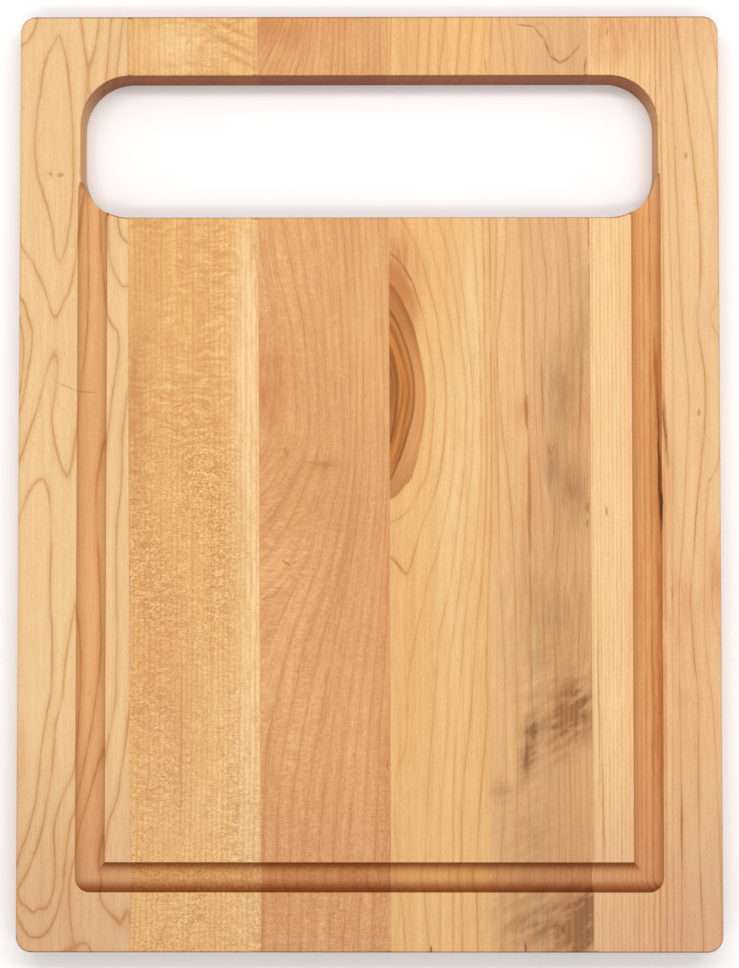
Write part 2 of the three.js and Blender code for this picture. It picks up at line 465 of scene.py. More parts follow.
LEFT_RAIL_LINES = [
    (2, [(-152, 70), (-150.5, 60), (-151, 45), (-152, 38)]),
    (3, [(-152, 80), (-148.5, 72), (-146.5, 63), (-148, 50), (-150, 38), (-152, 30)]),
    (4, [(-152, 190), (-148.5, 193), (-145, 201)]),
    (4, [(-152, 104), (-145, 92), (-140, 80), (-136.5, 71), (-133, 78), (-129.5, 87), (-128, 95),
        (-125.5, 120), (-124, 150), (-123.5, 174), (-119.5, 190), (-118, 203)]),
    (4, [(-152, 8), (-148, 20), (-144, 32), (-141, 45), (-138.5, 53), (-136.5, 55.5), (-135.3, 52),
        (-136, 40), (-137.7, 30), (-137, 20), (-134.5, 9), (-131.5, 2), (-129, 8), (-127.3, 20)]),
    (4, [(-127, -53), (-129.5, -65), (-131.5, -80), (-133, -95), (-135.5, -105), (-136.5, -120),
        (-138.5, -135), (-141, -150), (-145, -162), (-148, -170), (-151, -175.5)]),
    (4, [(-128, -127), (-133, -138), (-136, -150), (-135.5, -165), (-136, -177), (-139, -184),
        (-145, -186), (-150, -182), (-151.5, -178)]),
    (3.7, [(-130, -112)]),
    (3.7, [(-136, -138)]),
    (3.7, [(-140, -160)]),
    (3.7, [(-143, -175)]),
    (5, [(-135, 195), (-141, 185), (-143.5, 170), (-145.5, 155), (-145.5, 140), (-143, 128),
        (-140.5, 120), (-138, 110), (-137, 100), (-134.5, 96), (-132, 103), (-130, 115),
        (-129, 130), (-129.3, 150), (-130.5, 170), (-132.5, 185), (-135, 195)]),
    (5.6, [(-137, 175), (-137, 125)]),
    (5, [(-152, -17), (-150, -11), (-147, -4), (-144, 0), (-141.5, 1), (-139.5, -3), (-138.3, -12),
        (-137.9, -30), (-138.2, -50), (-137.2, -66), (-137, -80), (-137.7, -92), (-140, -105),
        (-142, -120), (-143.5, -135), (-146, -147), (-152, -166)]),
    (5.6, [(-147, -25), (-148, -110)]),
    (5, [(-127, -143), (-129, -148), (-130.5, -160), (-132, -175), (-134.5, -185), (-138, -193),
        (-144, -196.5), (-150, -191), (-152, -187)]),
    (5, [(-115, 175), (-112.5, 203)]),
    (5, [(-113, 70), (-109, 63), (-109.5, 50), (-112, 35), (-113.5, 20), (-118, -12)]),
    (6, [(-110.5, 175), (-107.5, 203)]),
    (6, [(-113, 98), (-110.5, 90), (-107, 84.5), (-105, 85)]),
    (6, [(-105, 38), (-107, 20), (-107.5, 0), (-109.5, -25), (-109.5, -90), (-113.8, -118)]),
    (6, [(-129, -171), (-129.3, -180), (-128, -195), (-124, -199), (-120, -202)]),
    (7, [(-109.5, 113), (-108, 107), (-105, 103.5)]),
    (7, [(-104.3, -105), (-107, -125), (-109, -138), (-112.5, -147), (-113.5, -155), (-116, -178),
        (-111, -187), (-107, -190), (-104, -186)]),
]

RIGHT_STAVE_LINES = [
    (0, [(8.5, 58.5), (10, 55), (11.3, 51), (12.6, 43), (12.6, 38), (11.5, 28), (10.8, 23),
        (8.8, 17)]),
    (-0.8, [(8.5, 38)]),
    (1, [(8.3, 74.5), (10, 72.5), (12, 69), (15, 61.5), (17.8, 53), (19.3, 44), (19.7, 38),
        (19.3, 32), (17.3, 23), (14.3, 13), (10.7, 3.5), (8.8, 0.5)]),
    (2, [(8.5, 85.5), (11, 83.5), (13, 80.5), (16, 74), (19, 67), (20.8, 60), (22.5, 52),
        (24.2, 40), (24, 30), (22.7, 20), (20.7, 10), (18, 1), (13.5, -4.5), (8.8, -8)]),
    (3, [(8.5, 99.5), (13.5, 95), (17, 90), (20, 83), (22, 76), (24, 70), (25.5, 61), (27.5, 50),
        (28.5, 40), (28, 28), (27, 18), (25.7, 5), (23.5, -1), (20, -7), (15.5, -14), (10, -17.5)]),
    (4, [(14.5, 114), (18, 107), (21, 101), (24, 93), (25.8, 85), (28, 78), (29.7, 70), (31, 58),
        (33, 45), (33.2, 30), (32.2, 13), (30, 0), (28, -7), (24, -16), (21, -26), (18, -37),
        (16.5, -40.5), (13, -37.5), (9, -33)]),
    (4.5, [(9, -60), (9, -110)]),
    (5, [(24.5, 114), (26, 106), (28.5, 96), (31.5, 85), (34, 75), (36, 64), (37.3, 45),
        (37.3, 30), (36.5, 5), (35, -5), (32, -20), (28.5, -35), (26, -41), (24.3, -50), (21, -63),
        (17, -85), (16.3, -95), (16.5, -108), (15.5, -117), (12, -125), (11, -140)]),
    (6, [(30, 114), (33.5, 102), (35.7, 93), (37.5, 82), (39, 70), (41.3, 50), (42.2, 35),
        (41.5, 10), (39.5, -10), (37, -30), (34, -50), (30.5, -66), (28.5, -92), (26, -122),
        (24.7, -155), (24, -178), (25.5, -200)]),
    (7, [(35.5, 114), (38, 100), (40.3, 85), (42.3, 65), (45, 40), (44.5, 10), (42.5, -10),
        (40.5, -35), (37.5, -58), (34.5, -80), (33.5, -110), (31, -140), (30.5, -203)]),
    (8, [(45, 114), (48, 60), (48.5, 10), (46, -30), (42, -55), (38.5, -100), (36.5, -130),
        (36, -200)]),
    (9, [(50, 60), (51, 10), (49, -40), (46, -68), (43.5, -105), (40, -140), (40, -200)]),
    (10, [(53, 60), (53, 0), (51.5, -50), (50.5, -85), (51, -100), (48, -135), (46.5, -163)]),
    (11, [(55.5, 114), (55, 85), (54, 60), (54.5, 40), (55.5, 5), (56.5, -28), (57, -50),
        (58.5, -80), (59, -130), (57, -160), (57, -200)]),
    (13, [(65.5, 114), (66.5, 95), (66.3, 60), (68, 32), (69.5, 15), (69.5, -15), (68.8, -33),
        (70, -50), (69, -80), (69, -200)]),
    (15, [(74, 114), (76.5, 95), (77.3, 88), (76.3, 62), (75.5, 35), (77.5, 15), (79, 11),
        (81, 17.5), (82, 0), (82.7, -20), (81, -37), (80, -60), (81.7, -95), (81.8, -120),
        (82, -200)]),
    (18, [(91, 110), (93, 56), (92, 35), (91, 17), (92, -15), (92, -50), (90, -75), (88.5, -90),
        (88.5, -117), (90, -200)]),
]

HANDLE_RIGHT_STAVE_LINES = [
    (14, [(22, 203), (20.5, 177)]),
    (15, [(27, 203), (25.5, 177)]),
    (16, [(33.5, 203), (30.5, 177)]),
    (17, [(40, 203), (38, 177)]),
    (18, [(45.5, 203), (43, 177)]),
    (19, [(51, 203), (48.5, 177)]),
    (20, [(53.5, 203), (52.5, 177)]),
    (21, [(57, 203), (60, 177)]),
    (22, [(61, 203), (64, 177)]),
    (23, [(69.5, 200), (72, 199), (77, 199), (78.5, 196), (79, 190), (81, 185), (84, 183),
        (88, 185.5), (91, 190), (94, 194)]),
    (22.4, [(72, 180), (76, 178)]),
    (23.6, [(86, 198)]),
]

MIDDLE_STAVE_LINES = [
    (0, [(-47, 100), (-45, 88), (-42, 72), (-41, 55), (-41, 35), (-44, 16), (-48, 8)]),
    (1, [(-43, 115), (-40, 92), (-36, 76), (-33, 60), (-32, 40), (-32, 22), (-37, 8), (-43, -2),
        (-48, -8)]),
    (2, [(-38, 115), (-33, 90), (-29, 70), (-27, 50), (-26, 30), (-27, 14), (-33, 0), (-40, -13),
        (-48, -22)]),
    (3, [(-31, 115), (-27, 85), (-23, 60), (-22, 35), (-22, 14), (-27, 0), (-33, -14), (-40, -27),
        (-48, -36)]),
    (4, [(-25, 115), (-21, 80), (-19, 50), (-18.5, 25), (-19, 10), (-24, -8), (-29, -24),
        (-36, -38), (-48, -50)]),
    (5, [(-20, 115), (-17, 80), (-15, 50), (-14.5, 15), (-17, 2), (-22, -16), (-27, -34),
        (-34, -50), (-41, -66), (-47, -85)]),
    (6, [(-15, 115), (-12.5, 80), (-11.5, 50), (-11, 10), (-15, -8), (-20, -30), (-27, -50),
        (-34, -68), (-40, -95), (-45, -125), (-46, -200)]),
    (8, [(-8, 115), (-6, 80), (-5.5, 40), (-6, 10), (-9, -20), (-15, -50), (-22, -75), (-28, -105),
        (-33, -140), (-35, -200)]),
    (10, [(-2, 115), (0, 80), (0.5, 40), (0, 0), (-4, -35), (-9, -65), (-14, -95), (-19, -130),
        (-22, -165), (-24, -200)]),
    (12, [(4, 115), (6, 60), (6, 0), (3, -40), (-2, -80), (-6, -120), (-9, -160), (-11, -200)]),
    (14, [(9, -10), (7, -70), (4, -120), (1, -200)]),
]

RIGHT_RAIL_LINES = [
    (0, [(97, 203), (97, -203)]),
    (10, [(114, 203), (114.5, 0), (114, -203)]),
    (16, [(127, 203), (128, 60), (128, -203)]),
    (17, [(129, 203), (131, 100), (132, 40), (131, -60), (131, -203)]),
    (18, [(131, 203), (134, 120), (136, 70), (138.3, 45), (138.3, 25), (136, -20), (134, -50),
        (134, -90), (134.5, -132), (134.5, -165), (134, -203)]),
    (19, [(133.5, 203), (136, 185), (139, 160), (141.5, 138), (143.5, 115), (144.3, 90),
        (142.5, 70), (145, 52), (146, 40), (145, 18), (142, -10), (140, -38), (139, -52),
        (140.5, -78), (142, -95), (142, -150), (143.8, -203)]),
    (20, [(142, 203), (142.5, 190), (146, 172), (149.5, 152), (151, 132), (152.3, 122)]),
    (20, [(152.3, 85), (148.5, 71), (152, 62)]),
    (20, [(152, 12), (149.5, 3), (147, -1), (145.5, -20), (145, -45), (145, -68), (148, -95),
        (150, -130), (151.5, -175)]),
    (21, [(148.5, 203), (151.3, 187)]),
    (21, [(152, -22), (149.5, -32), (148, -52), (151.5, -67)]),
]


# ---- Stains: soft patches, as x, y, half width, half length, strength and lean ----

STAIN_KINDS = ("pale", "red", "grey")
STAINS = {
    "left_rail": {
        "red": [(-151, -120, 3, 14, 0.5, 0), (-139, 134, 0.8, 1.5, 0.6, 0)],
        "pale": [(-140, -70, 9, 60, 0.3, 0)],
    },
    "left_stave": {
        "red": [
            (-102, 30, 4, 40, 0.6, 0), (-92, -80, 12, 60, 0.35, 0), (-80, -115, 6, 40, 0.25, 0),
        ],
        "grey": [(-100, 60, 6, 70, 0.15, 0)],
        "pale": [
            (-51, -20, 6, 170, 0.72, 0), (-54, 70, 5, 60, 0.4, 0), (-75, -130, 30, 70, 0.25, 0),
            (-84, 190, 20, 14, 0.5, 0),
        ],
    },
    "middle_stave": {
        "red": [
            (-44, 40, 8, 24, 0.9, 0), (-40, 197, 14, 9, 0.7, 0), (-20, 7, 9, 3, 0.5, -0.1),
            (-20, -10, 20, 25, 0.3, 0), (5, -100, 6, 60, 0.2, 0),
        ],
        "pale": [(-35, 28, 4, 10, 0.4, 0), (0, 80, 12, 40, 0.6, 0), (-6, 190, 5, 14, 0.4, 0)],
    },
    "right_stave": {
        "red": [
            (14, 98, 9, 14, 0.7, -0.3), (19, 72, 4, 12, 0.5, 0), (67, 29, 3, 8, 0.5, 0),
            (68, -10, 4, 28, 0.4, 0), (92, 26, 3, 12, 0.5, 0),
        ],
        "grey": [
            (69, -114, 3.5, 13, 1.2, 0.1), (87, -102, 10, 15, 1.3, 0.25),
            (57, -134, 4, 5, 0.35, 0), (92, -190, 8, 14, 1.9, 0.3), (76, -190, 20, 13, 0.7, 0),
            (84, 40, 8, 20, 0.55, 0), (88, -4, 8, 16, 0.6, 0), (79, 8, 3, 12, 0.6, 0),
            (80, -64, 20, 40, 0.42, 0), (72, -152, 16, 24, 0.25, 0), (93, 70, 4, 26, 0.4, 0),
        ],
        "pale": [(36, -20, 8, 90, 0.35, 0), (46, 60, 6, 60, 0.5, 0)],
    },
    "right_rail": {
        "red": [
            (130, -5, 3.5, 28, 0.5, 0), (150, -45, 4, 20, 0.6, 0), (125.5, -110, 2, 40, 0.4, 0),
            (118, -30, 5.5, 170, 0.45, 0), (125, 198, 40, 16, 0.3, 0), (124, 40, 4, 60, 0.3, 0),
            (106, 196, 10, 18, 0.5, 0), (134, -52, 8, 16, 0.4, 0), (140, -92, 14, 40, 0.35, 0),
            (126.3, -20, 1.8, 170, 0.55, 0),
        ],
        "pale": [(105, 30, 8, 80, 0.4, 0)],
    },
}

# Small marks: from x, y to x, y, half width and strength
MARKS = {
    "left_rail": {
        "brown": [
            (-139.3, 134, -138.7, 134, 0.9, 0.45), (-135, 133.4, -134.2, 133.7, 1.1, 0.6),
            (-136, 43, -127, 39.2, 0.4, 0.4), (-128, 39.2, -119.5, 39, 0.4, 0.4),
        ],
    },
    "left_stave": {
        "brown": [
            (-81, -70, -81.3, -160, 0.5, 0.35), (-68.5, 0, -68.2, -110, 0.45, 0.3),
            (-103.5, 4, -99.5, 4.5, 0.5, 0.4), (-103.5, -8, -100, -8, 0.5, 0.4),
            (-103.5, -20, -100, -19.5, 0.5, 0.4), (-68, 195, -50, 186, 1.4, 0.3),
            (-66, 201, -50, 193, 1.3, 0.25), (-64, 188, -49, 180, 1.3, 0.25),
        ],
    },
    "middle_stave": {
        "brown": [
            (-36.8, 14, -35.8, 11.5, 1.2, 0.4), (-27, 8, -14, 6.6, 1.0, 0.35),
            (-37.5, -34.5, -34.4, -36.6, 0.7, 0.5), (-34.4, -36.6, -30, -34, 0.6, 0.3),
            (-46, -51, -41, -49.5, 0.8, 0.35), (-41, -49.5, -38, -46, 0.7, 0.3),
            (-31, -81, -31, -84, 0.5, 0.4), (8, -121, 8, -124, 0.5, 0.4),
        ],
    },
    "right_stave": {
        "brown": [
            (66.5, 95, 68, 32, 0.45, 0.45), (67.8, 38, 68.6, 22, 0.9, 0.75),
            (69.3, 16, 69.6, -36, 0.9, 0.7), (69.5, -33, 70, -66, 0.5, 0.5),
            (70, -64, 70.4, -108, 0.5, 0.5), (80, -66, 81, -112, 0.45, 0.5),
            (74.5, 62, 75.5, 18, 0.5, 0.5), (80.5, -2, 79.5, -38, 0.4, 0.45),
            (91.5, -45, 89.5, -112, 0.4, 0.45), (92.5, 62, 91, 18, 0.7, 0.5),
            (76.8, 15, 79, 11, 0.6, 0.4), (79, 11, 80.5, 16, 0.6, 0.4),
            (55.5, 70, 56.4, -30, 0.3, 0.4), (65, 199.5, 72, 198.5, 0.6, 0.6),
            (72, 198.5, 76.5, 193, 0.6, 0.55), (76.5, 193, 79, 185.5, 0.6, 0.7),
            (79, 185.5, 83.5, 182.5, 0.7, 0.8), (83.5, 182.5, 88, 185.5, 0.6, 0.7),
            (88, 185.5, 92, 190, 0.5, 0.5), (94, 177.5, 94.5, 185, 0.5, 0.8),
            (51, 177.5, 50.5, 185, 0.4, 0.5), (9, 99.5, 14, 95, 0.6, 0.6),
            (14, 95, 19, 86, 0.7, 0.7), (19, 86, 22, 76, 0.6, 0.5),
            (94.5, -10, 94.6, -13.5, 0.7, 0.7), (94.6, -17, 94.4, -20, 0.7, 0.6),
            (9, -33, 16, -40, 0.5, 0.5),
        ],
        "dark": [
            (26.5, -200.5, 26.5, -203, 0.5, 0.8), (67, -199, 67.4, -203, 0.7, 0.7),
            (95.8, 116, 95.9, 78, 0.4, 0.7),
        ],
    },
    "right_rail": {
        "brown": [
            (134.5, -130, 134.5, -167, 0.55, 0.7), (131, -46, 131, -51, 0.5, 0.5),
            (99, -55, 99.4, -140, 0.4, 0.5), (100.5, -118, 101.3, -167, 0.45, 0.55),
            (123.7, -78, 123.4, -136, 0.7, 0.4), (104, 194.5, 104.2, 198, 0.5, 0.5),
            (102.7, -11.5, 102.8, -15, 0.6, 0.7), (138, 141, 138, 142.4, 0.9, 0.55),
            (143, 28.8, 143, 30.4, 0.9, 0.55), (124.4, 66, 126.2, 20, 0.8, 0.6),
            (127.5, 40, 129.6, 4, 1.0, 0.6),
        ],
        "dark": [
            (125.6, 34, 126.7, -26, 0.55, 0.75), (126.6, -2, 126.8, -22, 0.6, 0.9),
            (127.2, 34, 129, 12, 0.4, 0.5),
        ],
    },
}


def stain(patches, x, y):
    """Strength of a stain at each place, from 0 up."""
    total = np.zeros(len(x))
    for place_x, place_y, half_x, half_y, strength, lean in patches:
        along_y = y - place_y
        across = (x - place_x - lean * along_y) / half_x
        total += strength * np.exp(-(across**2) - (along_y / half_y) ** 2)
    return total


# ---- Wood meshes ----

WALL_ROWS = 8
CREASE_ANGLE = math.radians(35)
PROBE = 0.2  # half the length over which a growth field's slope is taken

# Wood counts as routed this far past the groove and the slot's wall, between these depths
# Its darker tint there is partly the cut wood's own colour, partly painted shade in the groove and
# slot
GROOVE_MARGIN = 0.1
SLOT_MARGIN = 0.3
FACE_SKIN = 0.05
ROUTED_DEPTH = 12


def sides(corners):
    return zip(corners, corners[1:] + corners[:1])


def triangles_inside(triangles, count):
    """The triangles inside the loop of the first count points, which runs anticlockwise."""
    owner = {}
    for number, corners in enumerate(triangles):
        for start, end in sides(corners):
            owner[start, end] = number
    border = {(i, (i + 1) % count) for i in range(count)}
    waiting = [owner[end, start] for start, end in border if (end, start) in owner]
    outside = set()
    while waiting:
        number = waiting.pop()
        if number in outside:
            continue
        outside.add(number)
        corners = triangles[number]
        for start, end in sides(corners):
            if (end, start) not in border and (end, start) in owner:
                waiting.append(owner[end, start])
    return [t for number, t in enumerate(triangles) if number not in outside]


def wood_mesh(name, loop, inner):
    """A closed stave whose top, underside and walls share one plan."""
    points = without_close_pairs(loop, [tuple(p) for p in inner])
    count = len(loop)
    edges = [(i, (i + 1) % count) for i in range(count)] + mitre_edges(points)
    plan, _, triangles, _, _, _ = delaunay_2d_cdt(
        [Vector(p) for p in points], edges, [], 1, 1e-4, False
    )
    if len(plan) != len(points):
        raise ValueError(f"{name}: the plan's points run into each other")
    x, y = np.array(points).T
    drop = edge_drop(x, y)
    top = THICKNESS - np.maximum(drop, groove_depth(x, y))
    size = len(points)
    vertices = [np.stack([x, y, top], 1), np.stack([x, y, drop], 1)]
    faces = triangles_inside([list(t) for t in triangles], count)
    faces += [[i + size for i in reversed(t)] for t in faces]
    rings = [[size + i for i in range(count)]]
    for row in range(1, WALL_ROWS):
        part = row / WALL_ROWS
        height = drop[:count] + (top[:count] - drop[:count]) * part
        first = 2 * size + (row - 1) * count
        vertices.append(np.stack([x[:count], y[:count], height], 1))
        rings.append([first + i for i in range(count)])
    rings.append(list(range(count)))
    for lower, upper in zip(rings, rings[1:]):
        for (i, j), (k, m) in zip(sides(lower), sides(upper)):
            faces.append([i, j, m, k])
    places = np.concatenate(vertices)
    mesh = bpy.data.meshes.new(name)
    mesh.from_pydata((places * MM).tolist(), [], faces)
    mesh.validate()
    mesh.shade_smooth()
    mesh.set_sharp_from_angle(angle=CREASE_ANGLE)
    return mesh, places


def add_object(name, data):
    thing = bpy.data.objects.new(name, data)
    bpy.context.scene.collection.objects.link(thing)
    return thing


def write_attribute(mesh, name, values):
    attribute = mesh.attributes.new(name, "FLOAT", "POINT")
    attribute.data.foreach_set("value", np.asarray(values, np.float32))


class Figure:
    """How a stave's wood runs: its growth lines, their dip, its fibres and its look."""

    def __init__(self, look, growth, lean=0.0, tilt=0.0, rise=0.0, fibre=None):
        self.look = look
        self.growth = growth
        self.lean, self.tilt, self.rise = lean, tilt, rise
        self.fibre = fibre or (lambda x, y: x)

    def rings(self, x, y, depth):
        return self.growth(x + self.lean * depth, y + self.tilt * depth) + self.rise * depth

    def paint(self, mesh, places):
        x, y, z = places.T
        depth = THICKNESS - z
        slope_x = self.rings(x + PROBE, y, depth) - self.rings(x - PROBE, y, depth)
        slope_y = self.rings(x, y + PROBE, depth) - self.rings(x, y - PROBE, depth)
        routed_and_shade = groove_distance(x, y) < GROOVE_RADIUS + GROOVE_MARGIN
        routed_and_shade &= (depth > FACE_SKIN) & (depth < ROUTED_DEPTH)
        routed_and_shade |= outside_slot(x, y) < SLOT_MARGIN
        write_attribute(mesh, "ring", self.rings(x, y, depth))
        write_attribute(mesh, "ring_rate", np.hypot(slope_x, slope_y) / (2 * PROBE))
        write_attribute(mesh, "fibre", self.fibre(x + self.lean * depth, y))
        write_attribute(mesh, "routed_and_shade", routed_and_shade.astype(float))
        for kind in STAIN_KINDS:
            write_attribute(mesh, kind, stain(STAINS[self.look].get(kind, []), x, y))


# ---- Materials ----


def linear(red, green, blue):
    """Linear colour from display values out of 255."""
    def one(value):
        value /= 255
        return value / 12.92 if value <= 0.04045 else ((value + 0.055) / 1.055) ** 2.4
    return (one(red), one(green), one(blue), 1.0)


OIL = (0.725, 0.73, 0.65)  # what oil takes from the colour of freshly sanded wood


def oiled(red, green, blue):
    """Linear colour of oiled wood, from display values out of 255 of the same wood dry."""
    return tuple(a * b for a, b in zip(linear(red, green, blue), (*OIL, 1.0)))


class Nodes:
    """Short calls for building a material's node tree."""

    def __init__(self, name):
        self.material = bpy.data.materials.new(name)
        self.material.use_nodes = True
        self.tree = self.material.node_tree
        self.shader = self.tree.nodes["Principled BSDF"]

    def put(self, node, key, value):
        if isinstance(value, bpy.types.NodeSocket):
            self.tree.links.new(value, node.inputs[key])
        else:
            node.inputs[key].default_value = value

    def node(self, kind, inputs=None, **settings):
        node = self.tree.nodes.new(kind)
        for key, value in settings.items():
            setattr(node, key, value)
        for key, value in (inputs or {}).items():
            self.put(node, key, value)
        return node

    def math(self, operation, *values, clamp=False):
        node = self.node("ShaderNodeMath", operation=operation, use_clamp=clamp)
        for i, value in enumerate(values):
            self.put(node, i, value)
        return node.outputs[0]

    def mul(self, a, b):
        return self.math("MULTIPLY", a, b)

    def add(self, a, b):
        return self.math("ADD", a, b)

    def attribute(self, name):
        return self.node("ShaderNodeAttribute", attribute_name=name).outputs["Fac"]

    def place(self):
        return self.node("ShaderNodeTexCoord").outputs["Object"]

    def facing_end(self):
        """1 where the surface faces along the board, 0 where it faces up or sideways."""
        normal = self.node("ShaderNodeNewGeometry").outputs["Normal"]
        return self.math("ABSOLUTE", self.node("ShaderNodeSeparateXYZ", {0: normal}).outputs[1])

    def vector(self, x, y, z):
        return self.node("ShaderNodeCombineXYZ", {0: x, 1: y, 2: z}).outputs[0]

    def noise(self, vector, detail=2.0, roughness=0.5, scale=1.0):
        inputs = {"Vector": vector, "Scale": scale, "Detail": detail, "Roughness": roughness}
        return self.node("ShaderNodeTexNoise", inputs).outputs["Fac"]

    def ramp(self, value, low, high, to_low=0.0, to_high=1.0):
        """A smooth step of value between two limits."""
        inputs = {
            "Value": value, "From Min": low, "From Max": high, "To Min": to_low, "To Max": to_high,
        }
        node = self.node("ShaderNodeMapRange", inputs, interpolation_type="SMOOTHSTEP")
        return node.outputs["Result"]

    def mix(self, amount, a, b, blend="MIX"):
        node = self.node("ShaderNodeMix", data_type="RGBA", blend_type=blend)
        for i, value in ((0, amount), (6, a), (7, b)):
            self.put(node, i, value)
        return node.outputs[2]

    def shade(self, amount, tint):
        """Multiplies the colour so far by a tint."""
        self.colour = self.mix(amount, self.colour, linear(*tint), "MULTIPLY")


class Wood(Nodes):
    """Oiled maple: fibres, growth lines, flecks, stains, end grain, routed surfaces darkened partly
    as painted shade, and painted shade towards the lower end.
    """

    def __init__(self, name, seed):
        super().__init__(name)
        self.seed = seed
        split = self.node("ShaderNodeSeparateXYZ", {0: self.place()})
        self.x, self.y, self.z = (self.mul(split.outputs[i], 1 / MM) for i in range(3))
        self.ring = self.attribute("ring")
        self.rate = self.math("MAXIMUM", self.attribute("ring_rate"), 0.03)
        self.fibre = self.attribute("fibre")

    def between(self, amount, first, second):
        return self.mix(amount, oiled(*first), oiled(*second))

    def cover(self, amount, colour):
        self.colour = self.mix(amount, self.colour, colour)

    def paint(self, amount, dry):
        """Covers the colour so far with that of oiled wood, given dry."""
        self.cover(amount, oiled(*dry))

    def blotches(self, width, length, detail=2.0, roughness=0.5, shift=0.0):
        """Noise of this size across and along the fibres, round 0 and mostly within a half."""
        offset = self.seed + shift
        across = self.add(self.mul(self.fibre, 1 / width), offset)
        down = self.add(self.mul(self.z, 1 / width), offset)
        vector = self.vector(across, self.mul(self.y, 1 / length), down)
        return self.math("SUBTRACT", self.noise(vector, detail, roughness), 0.5)

    def find_lines(self, wobble):
        """Sets how far the nearest growth line is, in millimetres, and its number."""
        vector = self.vector(self.mul(self.x, 0.35), self.mul(self.y, 0.09), self.mul(self.z, 0.3))
        self.rough = self.math("SUBTRACT", self.noise(vector, 3.0, 0.6), 0.5)
        ring = self.add(self.ring, self.mul(self.mul(self.rough, wobble), self.rate))
        self.nearest = self.math("ROUND", ring)
        past = self.math("SUBTRACT", ring, self.nearest)
        self.line_gap = self.math("ABSOLUTE", self.math("DIVIDE", past, self.rate))

    def line_strength(self):
        """Each growth line's own strength, which comes and goes along it."""
        chance = self.node(
            "ShaderNodeTexWhiteNoise", {"W": self.add(self.nearest, self.seed)},
            noise_dimensions="1D",
        ).outputs["Value"]
        fade = self.noise(self.vector(self.nearest, self.mul(self.y, 0.035), self.seed), 2.0)
        return self.mul(self.ramp(chance, -0.8, 0.9), self.ramp(fade, 0.25, 0.65, 0.35, 1.0))

    def strokes(self, marks):
        """Strength of the small marks: each is an ellipse about its own short line."""
        total = 0.0
        x = self.add(self.x, self.mul(self.rough, 1.5))
        for start_x, start_y, end_x, end_y, half_width, strength in marks:
            half = math.hypot(end_x - start_x, end_y - start_y) / 2
            run_x, run_y = (end_x - start_x) / (2 * half), (end_y - start_y) / (2 * half)
            middle_x, middle_y = (start_x + end_x) / 2, (start_y + end_y) / 2
            reach = half + half_width
            distances = []
            for way_x, way_y, size in ((run_x, run_y, reach), (-run_y, run_x, half_width)):
                distance = -(middle_x * way_x + middle_y * way_y) / size
                distance = self.math("MULTIPLY_ADD", x, way_x / size, distance)
                distances.append(self.math("MULTIPLY_ADD", self.y, way_y / size, distance))
            along, across = distances
            spread = self.math("MULTIPLY_ADD", across, across, self.mul(along, along))
            total = self.math("MAXIMUM", total, self.ramp(spread, 0.1, 1.5, strength, 0.0))
        return total


def wood_material(look, seed, recipe):
    wood = Wood(f"oiled_maple_{look}", seed)
    fine = wood.blotches(0.4, 8.0, 3.0, 0.65)
    medium = wood.blotches(1.7, 75.0, 3.0, 0.6, 5.0)
    broad = wood.blotches(10.0, 120.0, 2.0, 0.5, 9.0)
    grit = wood.blotches(0.6, 1.1, 1.0, 0.5, 13.0)
    wood.find_lines(recipe["wobble"])
    strength = wood.mul(wood.line_strength(), wood.ramp(wood.fibre, *recipe["line_fade"]))

    tone = wood.mul(fine, recipe["fine"])
    for texture, key in ((medium, "medium"), (broad, "broad"), (grit, "grit")):
        tone = wood.add(tone, wood.mul(texture, recipe[key]))
    tone = wood.math("ADD", tone, 0.45, clamp=True)
    wood.colour = wood.between(tone, recipe["light"], recipe["deep"])

    for low_x, high_x, top_y, bottom_y, tint in recipe["across"]:
        amount = wood.mul(wood.ramp(wood.fibre, low_x, high_x), wood.ramp(wood.y, top_y, bottom_y))
        wood.shade(amount, tint)
    if "curl" in recipe:
        add_curl(wood, *recipe["curl"])

    patchy = wood.ramp(wood.blotches(2.0, 14.0, 4.0, 0.6, 21.0), -0.22, 0.18, 0.4, 1.2)
    for kind in STAIN_KINDS:
        texture = slanting_streaks(wood, patchy) if kind == "grey" else patchy
        amount = wood.math("MULTIPLY", wood.attribute(kind), texture, clamp=True)
        wood.paint(amount, recipe[kind])

    wood.paint(wood.ramp(grit, 0.1, 0.32, 0.0, recipe["flecks"]), recipe["line"])
    halo = wood.ramp(wood.line_gap, 0.0, recipe["halo"], recipe["halo_strength"], 0.0)
    wood.paint(wood.mul(halo, strength), recipe["shade"])
    line = wood.ramp(wood.line_gap, 0.0, recipe["line_width"], recipe["line_strength"], 0.0)
    line = wood.mul(line, strength)
    wood.paint(line, recipe["line"])
    if "knot" in recipe:
        add_knot(wood)
    for kind, marks in MARKS[look].items():
        wood.paint(wood.strokes(marks), recipe[kind])
    # Painted shade: the colour darkens towards the board's lower end, where the light falls off
    wood.shade(wood.ramp(wood.y, -90.0, -203.0), recipe["painted_foot_shade"])
    wood.shade(wood.ramp(wood.facing_end(), 0.1, 1.0, 0.0, 0.95), (176, 132, 100))
    # Routed groove and slot walls darkened: partly the cut's own colour, partly painted shade in
    # these recesses
    wood.shade(wood.attribute("routed_and_shade"), (250, 231, 214))

    wood.put(wood.shader, "Base Color", wood.colour)
    wood.put(wood.shader, "Roughness", wood.ramp(medium, -0.5, 0.5, 0.46, 0.6))
    wood.put(wood.shader, "Specular IOR Level", 0.15)
    height = wood.add(wood.mul(fine, 0.6), wood.mul(line, -0.4))
    bump = wood.node("ShaderNodeBump", {"Height": height, "Strength": 0.3, "Distance": 0.0001})
    wood.put(wood.shader, "Normal", bump.outputs[0])
    return wood.material


